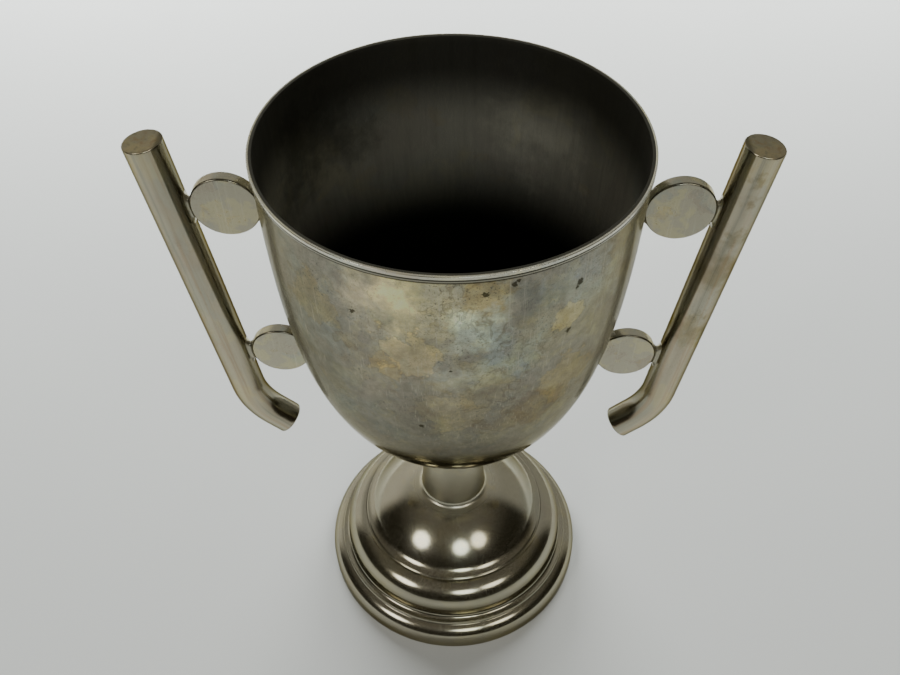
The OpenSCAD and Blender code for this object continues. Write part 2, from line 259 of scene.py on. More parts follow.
# %% Make the foot
foot_outside = np.concatenate([
    arc(FOOT_R - FOOT_EDGE, FOOT_EDGE, FOOT_EDGE, 180, 90, 5),
    arc(bead_r, BEAD_Z, BEAD_R, 90, bead_angle + 2, 26),
    arc(step_r - 0.12, ledge_z - 0.12, 0.12, 90, 0, 5),
    arc(torus_out + corner, ledge_z + corner, corner, 180, 270, 12),
    arc(torus_r, TORUS_Z, TORUS_R, 90, GROOVE_ANGLE, 44),
    [[groove_r - GROOVE_DEEP / 2, groove_z - GROOVE_DEEP]],
    arc(cove_r, cove_z, COVE_R, 180 + LIP_ANGLE, 180 + DOME_ANGLE, 16),
    arc(dome_r, dome_z, DOME_R, DOME_ANGLE, flare_angle, 50)[1:],
    arc(flare_r, flare_z, FLARE_R, 180 + flare_angle, 270, 26)[1:],
    line([STEM_R, flare_z], [stem_top_r, STEM_TOP], 10), [[stem_top_r, STEM_TOP]]])
stand_in = FOOT_R - FOOT_EDGE - STAND_W
foot_inside = np.concatenate([
    [[stand_in, 0], [stand_in, FOOT_WALL], [FOOT_R - FOOT_WALL, FOOT_WALL]],
    arc(bead_r, BEAD_Z, BEAD_R - FOOT_WALL, 90, 5, 12),
    arc(torus_out + corner, ledge_z + corner, corner + FOOT_WALL, 210, 270, 8),
    arc(torus_r, TORUS_Z, TORUS_R - FOOT_WALL, 90, GROOVE_ANGLE, 20),
    arc(cove_r, cove_z, COVE_R + FOOT_WALL, 180 + LIP_ANGLE, 180 + DOME_ANGLE, 10),
    arc(dome_r, dome_z, DOME_R - FOOT_WALL, DOME_ANGLE, flare_angle, 24)[1:],
    arc(flare_r, flare_z, FLARE_R + FOOT_WALL, 180 + flare_angle, 270, 12)[1:],
    [[stem_top_r - FOOT_WALL, STEM_TOP - FOOT_WALL], [STUD_R, STEM_TOP - FOOT_WALL],
     [STUD_R, STEM_TOP]]])


def foot_wave(turn, r, z):
    """The same kind of slow wave as on the bowl, but smaller: the foot is short and stiff."""
    return 0.006 * np.sin(3 * turn + z / 5) + 0.004 * np.sin(7 * turn - z / 3 + 1.0)


foot_profile = np.concatenate([foot_outside, foot_inside[::-1]])
foot = lathe("foot_shell", foot_profile, 340, wobble=foot_wave)
finish_piece(foot, "polished_plate", "foot")

# %% [markdown]
# ## The collar
# A small turned collar with one bead joins the stem to the bowl. It has a bore for the stud.

# %% Make the collar
SEAT_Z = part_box("bowl")[0][2] / MM
COLLAR_H, COLLAR_BEAD, COLLAR_EDGE, BORE_R = SEAT_Z - STEM_TOP, 1.2, 0.2, 5.05
bead_size = COLLAR_H / 4
collar_profile = np.concatenate([
    line([BORE_R, STEM_TOP], [stem_top_r, STEM_TOP], 2),
    arc(stem_top_r - COLLAR_EDGE, STEM_TOP + COLLAR_EDGE, COLLAR_EDGE, 180, 90, 5),
    arc(stem_top_r + COLLAR_BEAD - bead_size, STEM_TOP + COLLAR_H / 2, bead_size, 165, 15, 28),
    arc(stem_top_r - COLLAR_EDGE, SEAT_Z - COLLAR_EDGE, COLLAR_EDGE, 90, 0, 5),
    line([stem_top_r, SEAT_Z], [BORE_R, SEAT_Z], 2)])
collar = lathe("collar_ring", collar_profile, 192)
finish_piece(collar, "polished_plate", "stem_collar")

# %% [markdown]
# ## The discs
# Four coins of metal stand on edge, two on each side. Their flat faces look to the front and the
# back, and their edges are rounded, so a thin bright or dark line runs along each edge. Their
# profile is turned about the Y axis: it is a lathe lying on its side, moved to its place.

# %% Sizes of the handles, in mm
DISC_T, DISC_EDGE, DISC_CROWN = 3.2, 0.45, 0.06
UPPER_R, LOWER_R = 7.95, 7.6
UPPER_GAP, LOWER_GAP = 0.8, 2.2
UPPER_BAR_GAP, LOWER_BAR_GAP = 0.5, 1.0
BELOW_MOUTH, DISC_DROP = 18.5, 48.3
upper_z = MOUTH_Z - BELOW_MOUTH
lower_z = upper_z - DISC_DROP
upper_x = bowl_radius(upper_z) + UPPER_GAP + UPPER_R
lower_x = bowl_radius(lower_z) + LOWER_GAP + LOWER_R
LEVELS = (("upper", upper_x, upper_z, UPPER_R), ("lower", lower_x, lower_z, LOWER_R))
SIDES = (("left", -1), ("right", 1))
print("discs, mm:", [(level[0], round(float(level[1]), 2), round(level[2], 2)) for level in LEVELS])


# %% Make the discs
def disc(name, x, z, radius, crown):
    """A rounded coin: distance from its middle plane is half the thickness, less crown times the
    square of the radius share, and the edge is a quarter circle on each side."""
    half = DISC_T / 2
    share = np.linspace(0.02, 1, 26)
    face = np.stack([share * (radius - DISC_EDGE), half - crown * share ** 2], 1)
    edge = arc(radius - DISC_EDGE, half - DISC_EDGE - crown, DISC_EDGE, 0, 90, 9)[1:]
    front = np.concatenate([face, edge])
    profile = np.concatenate([front, front[::-1] * [1, -1]])
    turn = np.arange(160) * 2 * np.pi / 160
    r, y = profile[:, 0, None], profile[:, 1, None]
    points = np.stack([x + r * np.cos(turn), y + 0 * turn, z + r * np.sin(turn)], -1)
    return grid_mesh(name, points * MM)


for side, sign in SIDES:
    for level_name, x, z, radius in LEVELS:
        piece = disc(f"{side}_{level_name}_coin", sign * x, z, radius, DISC_CROWN)
        finish_piece(piece, "satin_plate", f"{side}_{level_name}_disc")

# %% [markdown]
# ## The bars
# Each handle is a length of round bar, cut square at both ends and bent in at the foot. A circle
# is carried along the bar's centre line: straight down, round a bend, then a short straight end.
# Each point also keeps its place on the bar before it was bent, so that the long polishing
# streaks can follow the bend.

# %% Make the bars
BAR_R, BAR_EDGE = 4.5, 0.4
BAR_ABOVE, BAR_BELOW, BEND_R, BEND, TAIL = 18.4, 13.3, 20.0, 38.4, 5.6
upper_reach = UPPER_R + UPPER_BAR_GAP + BAR_R
lower_reach = LOWER_R + LOWER_BAR_GAP + BAR_R
run = np.hypot(upper_x - lower_x, DISC_DROP)
lean = np.arctan2(upper_x - lower_x, DISC_DROP) - np.arcsin((lower_reach - upper_reach) / run)
bar_top = np.array([upper_x + upper_reach * np.cos(lean) + BAR_ABOVE * np.sin(lean),
                    upper_z - upper_reach * np.sin(lean) + BAR_ABOVE * np.cos(lean)])
straight = BAR_ABOVE + (upper_x - lower_x) * np.sin(lean) + DISC_DROP * np.cos(lean) + BAR_BELOW
bend_length = BEND_R * np.radians(BEND)
bar_length = straight + bend_length + TAIL


def centre_line(s):
    """Where the bar's centre is at a distance s down it, and which way is outwards there. Before
    the bend it goes straight down, on the bend it turns about a point at the inner side, and
    after it the tangent goes on. Everything is then leaned over by the bar's own lean."""
    turned = np.clip((s - straight) / BEND_R, 0, np.radians(BEND))
    before, after = np.minimum(s, straight), np.maximum(s - straight - bend_length, 0)
    x = BEND_R * (np.cos(turned) - 1) - after * np.sin(turned)
    z = -before - BEND_R * np.sin(turned) - after * np.cos(turned)
    tilt = lean + turned
    centre = np.stack([bar_top[0] + x * np.cos(lean) + z * np.sin(lean),
                       bar_top[1] - x * np.sin(lean) + z * np.cos(lean)], 1)
    return centre, np.stack([np.cos(tilt), -np.sin(tilt)], 1)


def bar(name, sign):
    """A tube of circles along the centre line. The first and last few rings shrink by a quarter
    circle, which rounds the cut edges, and then run in to the middle of the end face."""
    quarter = np.linspace(0, np.pi / 2, 7)
    s_edge, r_edge = BAR_EDGE * (1 - np.sin(quarter)), BAR_R - BAR_EDGE * (1 - np.cos(quarter))
    inner_r = (BAR_R - BAR_EDGE) * np.array([0.1, 0.3, 0.5, 0.7, 0.85, 0.95])
    along = np.linspace(0, 1, 150)[1:-1]
    s = np.concatenate([np.zeros(6), s_edge[::-1], BAR_EDGE + along * (bar_length - 2 * BAR_EDGE),
                        bar_length - s_edge, np.full(6, bar_length)])
    r = np.concatenate([inner_r, r_edge[::-1], np.full(len(along), BAR_R), r_edge, inner_r[::-1]])
    centre, outwards = centre_line(s)
    turn = np.arange(96) * 2 * np.pi / 96
    a, b = r[:, None] * np.cos(turn), r[:, None] * np.sin(turn)
    x = sign * (centre[:, :1] + a * outwards[:, :1])
    z = centre[:, 1:] + a * outwards[:, 1:]
    unbent = np.stack([a * sign, b, s[:, None] + 0 * a], -1) * MM
    return grid_mesh(name, np.stack([x, b, z], -1) * MM, extra=unbent)


for side, sign in SIDES:
    finish_piece(bar(f"{side}_handle_bar", sign), "satin_plate", f"{side}_bar")
print(f"a bar leans {np.degrees(lean):.2f} degrees and is {bar_length:.1f} mm long")

# %% [markdown]
# ## The solder necks
# Silver solder was run in between a disc and what it touches, and it drew itself up into a smooth
# neck that spreads at both ends. Each ring of the neck is a rounded rectangle. It is narrowest in
# the middle and wider where it wets the metal, and its two ends follow the disc's round edge and
# the curved surface on the other side.

# %% A neck of solder
SOLDER_T, SOLDER_SINK, COIN_SINK, SQUARENESS = 2.6, 0.12, 0.25, 0.55


def neck(name, disc_x, disc_z, disc_r, tilt, height, spread, far_surface, sign):
    """A neck from a disc's edge to another surface. u runs across the gap and v around the ring.
    A ring's half height and half thickness grow by spread times the square of how far u is from
    the middle. A point is part of the way from its place on the disc's edge circle to its place
    on the far surface, in a frame that is centred on the disc and tilted with the gap."""
    u = np.linspace(0, 1, 25)[:, None]
    v = (np.arange(64) * 2 * np.pi / 64)[None, :]
    flare = (2 * u - 1) ** 2
    tall = (height / 2) * (1 + spread * (flare - 0.5))
    deep = (SOLDER_T / 2) * (1 + 0.6 * spread * (flare - 0.5))
    along = tall * np.sign(np.cos(v)) * np.abs(np.cos(v)) ** SQUARENESS
    y = deep * np.sign(np.sin(v)) * np.abs(np.sin(v)) ** SQUARENESS
    start = np.sqrt(disc_r ** 2 - np.clip(along, -disc_r + 1, disc_r - 1) ** 2) - COIN_SINK
    stop = far_surface(along, y)
    across = start + (stop - start) * u
    x = disc_x + across * np.cos(tilt) + along * np.sin(tilt)
    z = disc_z - across * np.sin(tilt) + along * np.cos(tilt)
    return grid_mesh(name, np.stack([sign * x, y, z], -1) * MM)


def bar_side(reach):
    """The near side of the bar: its axis less the depth of its round wall at that y."""
    return lambda along, y: reach - np.sqrt(BAR_R ** 2 - y ** 2) + SOLDER_SINK + 0 * along


def bowl_side(disc_x, disc_z, tilt):
    """The bowl's wall seen from the disc: a few steps of Newton's kind, x = wall radius at that
    height, where the height itself depends on how far the neck has run."""
    def surface(along, y):
        reach = np.full(np.broadcast(along, y).shape, 9.0)
        for _ in range(12):
            z = disc_z - reach * np.sin(tilt) + along * np.cos(tilt)
            wall = np.sqrt(np.maximum(bowl_radius(z) ** 2 - y ** 2, 1.0)) - SOLDER_SINK
            reach = (wall - disc_x - along * np.sin(tilt)) / np.cos(tilt)
        return reach
    return surface


def wall_lean(z, radius):
    """How far the bowl's wall leans in at a disc, from two radii half a disc apart."""
    return np.arctan((bowl_radius(z + radius / 2) - bowl_radius(z)) / (radius / 2))


# %% Make the solder necks
NECK_TALL = {"upper": (upper_reach, 7.4, 9.6), "lower": (lower_reach, 7.2, 9.8)}
for side, sign in SIDES:
    for level_name, x, z, radius in LEVELS:
        reach, bar_tall, bowl_tall = NECK_TALL[level_name]
        place = f"{side}_{level_name}"
        bar_at = bar_side(reach)
        piece = neck(f"{place}_bar_solder", x, z, radius, lean, bar_tall, 0.5, bar_at, sign)
        finish_piece(piece, "solder", f"{place}_bar_joint")
        tilt = np.pi + wall_lean(z, radius)
        wall_at = bowl_side(x, z, tilt)
        piece = neck(f"{place}_bowl_solder", x, z, radius, tilt, bowl_tall, 0.4, wall_at, sign)
        finish_piece(piece, "solder", f"{place}_bowl_joint")

# %% [markdown]
# ## Helpers for materials
# A material is a small network of nodes. One helper adds a node and fills its inputs: a value is
# set, and a socket from another node is linked. Effects that several finishes share are built
# once as groups, and each material places a group with its own numbers.

# %% Small helpers for nodes
def put(tree, kind, inputs=None, **settings):
    """Adds a node. Inputs are found by name or number, and are either linked or set."""
    node = tree.nodes.new("ShaderNode" + kind)
    for name, value in settings.items():
        setattr(node, name, value)
    for key, value in (inputs or {}).items():
        if isinstance(value, bpy.types.NodeSocket):
            tree.links.new(value, node.inputs[key])
        else:
            node.inputs[key].default_value = value
    return node


def sums(tree, operation, *values):
    """A Math node's result."""
    return put(tree, "Math", dict(enumerate(values)), operation=operation).outputs[0]


def times(tree, first, second):
    """The product of two values."""
    return sums(tree, "MULTIPLY", first, second)


def vectors(tree, operation, first, second):
    """A Vector Math node's result. To scale, the second is a number."""
    inputs = {0: first, 3 if operation == "SCALE" else 1: second}
    return put(tree, "VectorMath", inputs, operation=operation).outputs[0]


def part(tree, vector, number):
    """One part of a vector: 0, 1 and 2 are x, y and z."""
    return put(tree, "SeparateXYZ", {0: vector}).outputs[number]


def mixed(tree, share, first, second, mode="MIX"):
    """Two colours mixed by a share from 0 to 1."""
    node = put(tree, "Mix", {0: share, 6: first, 7: second}, data_type="RGBA", blend_type=mode)
    return node.outputs[2]


def stained(tree, colour, mask, strength, stain):
    """A colour turned into a stain's colour where a mask is, as far as a strength says."""
    return mixed(tree, times(tree, mask, strength), colour, stain + (1,))


def tinted(tree, colour, share, tint):
    """A colour multiplied by a tint, as far as a share says."""
    return mixed(tree, share, colour, tint + (1,), "MULTIPLY")


def stepped(tree, value, low, high, out_low=0.0, out_high=1.0):
    """A smooth step: out_low below low, out_high above high."""
    inputs = dict(enumerate((value, low, high, out_low, out_high)))
    return put(tree, "MapRange", inputs, interpolation_type="SMOOTHSTEP").outputs[0]


def noise(tree, at, scale, detail=4.0, rough=0.55, warp=0.0):
    """A cloud of noise from 0 to 1."""
    inputs = {"Scale": scale, "Detail": detail, "Roughness": rough, "Distortion": warp}
    return put(tree, "TexNoise", {"Vector": at, **inputs}).outputs["Fac"]


def pushed(tree, at, scale, detail, rough, reach):
    """A place pushed about by coloured noise, whose three colours less a half are a direction."""
    inputs = {"Vector": at, "Scale": scale, "Detail": detail, "Roughness": rough}
    cloud = put(tree, "TexNoise", inputs).outputs["Color"]
    away = vectors(tree, "SUBTRACT", cloud, (0.5, 0.5, 0.5))
    return vectors(tree, "ADD", at, vectors(tree, "SCALE", away, reach))


def stretched(tree, at, scale, turn=(0.0, 0.0, 0.0)):
    """Coordinates turned and scaled, which draws a pattern out along one direction."""
    inputs = {"Vector": at, "Rotation": turn, "Scale": scale}
    return put(tree, "Mapping", inputs).outputs[0]


def new_group(name, inputs, outputs):
    """An empty shader group with named sockets. Values are (name, default) or (name, type)."""
    tree = bpy.data.node_groups.new(name, "ShaderNodeTree")
    for label, default in inputs:
        kind = {float: "Float", tuple: "Color"}.get(type(default), "Vector")
        socket = tree.interface.new_socket(label, in_out="INPUT", socket_type="NodeSocket" + kind)
        if default is not None:
            socket.default_value = default
    for label, kind in outputs:
        tree.interface.new_socket(label, in_out="OUTPUT", socket_type="NodeSocket" + kind)
    return tree, tree.nodes.new("NodeGroupInput").outputs, tree.nodes.new("NodeGroupOutput").inputs


def use(tree, group, **inputs):
    """Places a group and returns its outputs. An underscore in an input's name is a space."""
    node = put(tree, "Group", node_tree=group)
    for label, value in inputs.items():
        socket = node.inputs[label.replace("_", " ")]
        if isinstance(value, bpy.types.NodeSocket):
            tree.links.new(value, socket)
        else:
            socket.default_value = value
    return node.outputs


# %% [markdown]
# ## Tarnish
# Silver left in air grows a thin film, first straw yellow, then brown and blue-grey, in patches
# with edges like a map's, where fingers and cloths have been. Three noises are bent by a fourth, so
# that their level lines wander. Each level becomes one colour of the film, with a soft edge.
# Where a wet patch dried, it left a thin brown tide line, which is a narrow band between levels.

# %% Group: tarnish film
def build_tarnish():
    """Patches of straw, tan, mauve and blue-grey film over a base colour, and a mask of the
    thickest film. Size is the number of patches per metre and Strength is how strong they are."""
    tree, given, result = new_group(
        "tarnish_film", [("Vector", None), ("Size", 60.0), ("Strength", 1.0),
                         ("Base", (0.5, 0.5, 0.4, 1.0)), ("Seed", 0.0)],
        [("Color", "Color"), ("Film", "Float"), ("Tide", "Float")])
    size, strength = given["Size"], given["Strength"]
    moved = vectors(tree, "ADD", given["Vector"], given["Seed"])
    at = pushed(tree, moved, times(tree, size, 1.7), 3.0, 0.5, 0.016)
    at_second = vectors(tree, "ADD", at, (0.31, 0.17, 0.23))
    at_third = vectors(tree, "ADD", at, (0.77, 0.05, 0.41))
    broad = noise(tree, at, size, 5.0, 0.5)
    second = noise(tree, at_second, times(tree, size, 0.8), 6.0, 0.55)
    third = noise(tree, at_third, times(tree, size, 1.6), 5.0, 0.6)
    straw = times(tree, stepped(tree, broad, 0.53, 0.60), strength)
    blue = times(tree, stepped(tree, second, 0.55, 0.64), strength)
    mauve = times(tree, stepped(tree, broad, 0.46, 0.36), strength)
    tan = times(tree, stepped(tree, third, 0.585, 0.64), strength)
    colour = tinted(tree, given["Base"], straw, (1.22, 1.19, 0.97))
    colour = tinted(tree, colour, blue, (0.84, 0.94, 1.04))
    colour = tinted(tree, colour, mauve, (0.90, 0.84, 0.86))
    colour = tinted(tree, colour, tan, (1.05, 0.98, 0.83))
    ring = sums(tree, "ABSOLUTE", sums(tree, "SUBTRACT", third, 0.60))
    tide = times(tree, stepped(tree, ring, 0.014, 0.004), strength)
    tree.links.new(colour, result["Color"])
    tree.links.new(sums(tree, "MAXIMUM", tan, mauve), result["Film"])
    tree.links.new(times(tree, tide, stepped(tree, second, 0.42, 0.52)), result["Tide"])
    return tree


TARNISH = build_tarnish()
print("group:", TARNISH.name, [s.name for s in TARNISH.interface.items_tree])

# %% Group: one ragged patch
def build_patch():
    """One patch with a ragged edge: the distance from its centre, over its radius, after noise has
    pushed the place about. The mask is 1 inside and 0 outside. The edge is a thin line round it."""
    tree, given, result = new_group(
        "ragged_patch", [("Vector", None), ("Centre", None), ("Radius", 0.01), ("Softness", 0.35)],
        [("Mask", "Float"), ("Edge", "Float")])
    radius = given["Radius"]
    ragged, reach = sums(tree, "DIVIDE", 1.2, radius), times(tree, radius, 2.6)
    at = pushed(tree, given["Vector"], ragged, 5.0, 0.66, reach)
    away = put(tree, "VectorMath", {0: at, 1: given["Centre"]}, operation="DISTANCE")
    share = sums(tree, "DIVIDE", away.outputs["Value"], radius)
    edge = sums(tree, "SUBTRACT", 1.0, given["Softness"])
    tree.links.new(stepped(tree, share, 1.0, edge), result["Mask"])
    from_edge = sums(tree, "ABSOLUTE", sums(tree, "SUBTRACT", share, 0.97))
    tree.links.new(stepped(tree, from_edge, 0.07, 0.02), result["Edge"])
    return tree


PATCH = build_patch()


def patch_at(tree, at, centre, radius, softness):
    """Places one patch. Its centre and radius are in mm."""
    centre = tuple(MM * float(v) for v in centre)
    return use(tree, PATCH, Vector=at, Centre=centre, Radius=MM * radius, Softness=softness)


print("patch sockets:", [s.name for s in PATCH.interface.items_tree])

# %% [markdown]
# ## Pits, flecks and scratches
# Old plating is never clean. It has a fine dark grain where it has pitted, a few larger flecks
# where it has worn through, and hairline scratches from polishing and from handling. Cells of
# Voronoi noise give the flecks: only a few cells are chosen, and each shows a small drawn-out
# spot. Noise drawn out a hundredfold gives the hairlines.

# %% Group: pits and flecks
def build_pits():
    """Grain is fine dark pitting that comes and goes in clouds. Flecks are rare dark spots."""
    tree, given, result = new_group(
        "pits_and_flecks",
        [("Vector", None), ("Grain Size", 2600.0), ("Fleck Size", 90.0), ("Fleck Share", 0.25)],
        [("Grain", "Float"), ("Flecks", "Float")])
    fine = noise(tree, given["Vector"], given["Grain Size"], 3.0, 0.7)
    cloud = noise(tree, given["Vector"], 85.0, 4.0, 0.55, 0.6)
    clouded = stepped(tree, cloud, 0.40, 0.66, 0.12, 1.0)
    grain = times(tree, stepped(tree, fine, 0.54, 0.68), clouded)
    drawn = stretched(tree, given["Vector"], (1.0, 1.0, 0.55), (0.5, 0.3, 0.9))
    rag = put(tree, "TexNoise", {"Vector": drawn, "Scale": 900.0, "Detail": 2.0}).outputs["Color"]
    at = vectors(tree, "ADD", drawn, vectors(tree, "SCALE", rag, 0.0011))
    cell = put(tree, "TexVoronoi", {"Vector": at, "Scale": given["Fleck Size"]})
    chance, big = put(tree, "SeparateColor", {0: cell.outputs["Color"]}).outputs[:2]
    chosen = sums(tree, "LESS_THAN", chance, given["Fleck Share"])
    size = sums(tree, "MULTIPLY_ADD", big, 0.07, 0.03)
    spot = stepped(tree, sums(tree, "DIVIDE", cell.outputs["Distance"], size), 1.25, 0.75)
    tree.links.new(grain, result["Grain"])
    tree.links.new(times(tree, spot, chosen), result["Flecks"])
    return tree


PITS = build_pits()


# %% Group: hairline scratches
def build_scratches():
    """Three sets of hairlines in three directions: noise drawn out along one axis, cut to its
    crests, and let through only in patches."""
    tree, given, result = new_group(
        "hairlines", [("Vector", None), ("Density", 1.0)], [("Lines", "Float")])
    total = None
    for turn, scale in (((0.9, 0.9, 0.4), 1.0), ((1.3, -0.5, 1.3), 0.8), ((-0.9, 0.6, 2.2), 1.3)):
        at = stretched(tree, given["Vector"], (3200 * scale, 3200 * scale, 45 * scale), turn)
        crest = stepped(tree, noise(tree, at, 1.0, 1.0, 0.4), 0.66, 0.74)
        patch = stepped(tree, noise(tree, at, 0.02, 2.0, 0.5), 0.42, 0.58)
        lines = times(tree, crest, patch)
        total = lines if total is None else sums(tree, "MAXIMUM", total, lines)
    tree.links.new(times(tree, total, given["Density"]), result["Lines"])
    return tree


HAIRLINES = build_scratches()


# %% [markdown]
# ## Turned and drawn grain
# Spinning and polishing on a lathe leave fine rings, so that pattern reads only the radius and
# the height. Drawn bar has streaks along its length instead, so that pattern reads the place on
# the unbent bar, stretched along it.

# %% Group: lathe rings
def build_rings():
    """Noise in radius and height only, with a slow change round the axis, gives fine rings."""
    tree, given, result = new_group(
        "lathe_rings", [("Vector", None), ("Scale", 2500.0)], [("Rings", "Float")])
    x, y, z = put(tree, "SeparateXYZ", {0: given["Vector"]}).outputs
    squares = sums(tree, "ADD", sums(tree, "POWER", x, 2.0), sums(tree, "POWER", y, 2.0))
    slow = times(tree, noise(tree, given["Vector"], 30.0, 1.0), 0.0006)
    radius = sums(tree, "ADD", sums(tree, "SQRT", squares), slow)
    flat = put(tree, "CombineXYZ", {0: radius, 1: z, 2: 0.0}).outputs[0]
    tree.links.new(noise(tree, flat, given["Scale"], 3.0, 0.6), result["Rings"])
    return tree


RINGS = build_rings()


# %% Group: drawn streaks
def build_streaks():
    """Streaks along the third coordinate: coarse bands that differ in tone, and fine lines."""
    tree, given, result = new_group(
        "drawn_streaks", [("Vector", None)], [("Bands", "Float"), ("Lines", "Float")])
    bands = noise(tree, stretched(tree, given["Vector"], (520, 520, 14)), 1.0, 4.0, 0.6)
    lines = noise(tree, stretched(tree, given["Vector"], (3800, 3800, 50)), 1.0, 2.0, 0.5)
    tree.links.new(bands, result["Bands"])
    tree.links.new(lines, result["Lines"])
    return tree


STREAKS = build_streaks()
print("groups:", [g.name for g in bpy.data.node_groups])

# %% [markdown]
# ## Finishes
# Each finish is one Principled shader. Its metal, tarnish and marks come from the groups. The
# numbers that are the same all over, such as how metallic it is, are set on the shader itself. On a
# metal, the specular tint is how much it still reflects at a glancing angle: clean silver turns
# white there, but a tarnish film keeps it dark and warm.

# %% Start a metal material
def metal(name, **constants):
    """A material with one Principled shader whose fixed values are set on its own sockets."""
    material = bpy.data.materials.new(name)
    material.use_nodes = True
    tree = material.node_tree
    shader = tree.nodes["Principled BSDF"]
    shader.inputs["Metallic"].default_value = 1.0
    for label, value in constants.items():
        shader.inputs[label.replace("_", " ")].default_value = value
    return material, tree, shader, put(tree, "TexCoord").outputs["Object"]


def coat(tree, shader, colour, rough):
    """Links a colour and a roughness to the shader."""
    tree.links.new(colour, shader.inputs["Base Color"])
    tree.links.new(rough, shader.inputs["Roughness"])


def bump(tree, shader, height, strength, distance):
    """Links a height to the shader's normal through a Bump node."""
    node = put(tree, "Bump", {"Strength": strength, "Distance": distance, "Height": height})
    tree.links.new(node.outputs[0], shader.inputs["Normal"])
    return node


# %% [markdown]
# ## The outside of the bowl
# Under its film the plate is still nearly a mirror, so the handles and the foot show in it as dark
# shapes. The film and the pits break that mirror up into specks too fine to see one by one, and
# those specks are rough. Mixing two roughnesses at that scale gives a surface that has both a sharp
# reflection and a broad sheen. The large old patches are placed one by one where they lie. A few
# soft, bright patches on the front are painted sheen where the lamps' streaks fall, and the colour
# is painted darker towards the foot, as shade.

# %% Where the old film patches and the painted sheen are, in mm
CRISP = 0.2    # a patch with less softness than this dried with a brown line round it
FILM_PATCHES_AND_PAINTED_SHEEN = [
    # centre, radius, softness, colour that multiplies the plate
    ((25, -33, 123), 8, 0.10, (1.14, 1.06, 0.88)), ((19, -36, 115), 7, 0.15, (0.82, 0.76, 0.74)),
    # painted sheen: the two soft, bright patches on this row stand in for the lamps' upright
    # streaks
    ((-13, -40, 157), 8, 0.9, (1.30, 1.28, 1.18)), ((4, -42, 149), 6, 0.9, (1.26, 1.34, 1.36)),
    ((18, -38, 151), 8, 0.8, (0.78, 0.80, 0.82)), ((-6, -40, 115), 10, 0.8, (0.86, 0.86, 0.86)),
    # painted sheen: the patches on the next two rows are the lamps' upright streaks on the front
    ((-3, -42, 151), 17, 0.9, (1.86, 1.82, 1.52)), ((-15, -40, 152), 11, 0.8, (1.92, 1.80, 1.54)),
    ((5, -42, 146), 8, 0.9, (1.76, 2.00, 2.02)), ((5, -42, 133), 9, 0.9, (1.36, 1.44, 1.46)),
    ((-8, -42, 138), 7, 0.12, (1.32, 1.22, 1.00)), ((-13, -40, 133), 4, 0.15, (1.20, 1.10, 0.90)),
    # painted sheen: both patches on this row brighten the front where the lamps' streaks fall
    ((-6, -42, 131), 16, 0.9, (1.28, 1.25, 1.18)), ((13, -40, 137), 9, 0.7, (1.10, 1.24, 1.38)),
    ((26, -33, 150), 12, 0.7, (1.14, 1.22, 1.34)), ((7, -42, 156), 6, 0.4, (0.98, 0.88, 0.70)),
    ((23, -35, 143), 4, 0.12, (1.34, 1.24, 0.98)),
    ((-27, -32, 144), 7, 0.15, (1.04, 0.96, 0.80)), ((0, -41, 119), 8, 0.18, (1.12, 1.07, 0.95)),
    ((-33, -26, 126), 13, 0.7, (0.72, 0.72, 0.72)), ((34, 18, 138), 12, 0.4, (1.16, 1.08, 0.86)),
    ((-20, 37, 128), 14, 0.5, (0.88, 0.94, 1.00)), ((6, 42, 146), 11, 0.4, (1.24, 1.18, 0.96))]
OLD_FLECKS = [((25.1, -34.1, 151.6), 1.0), ((24.6, -34.3, 150.6), 0.6), ((24.0, -34.6, 138.7), 0.8),
              ((12.3, -40.6, 157.0), 0.7), ((13.0, -40.4, 157.8), 0.5), ((6.9, -41.8, 155.5), 0.8),
              ((0.5, -42.0, 134.0), 0.4), ((-6.0, -39.4, 112.5), 0.8), ((-18.6, -38.0, 147.0), 0.7)]


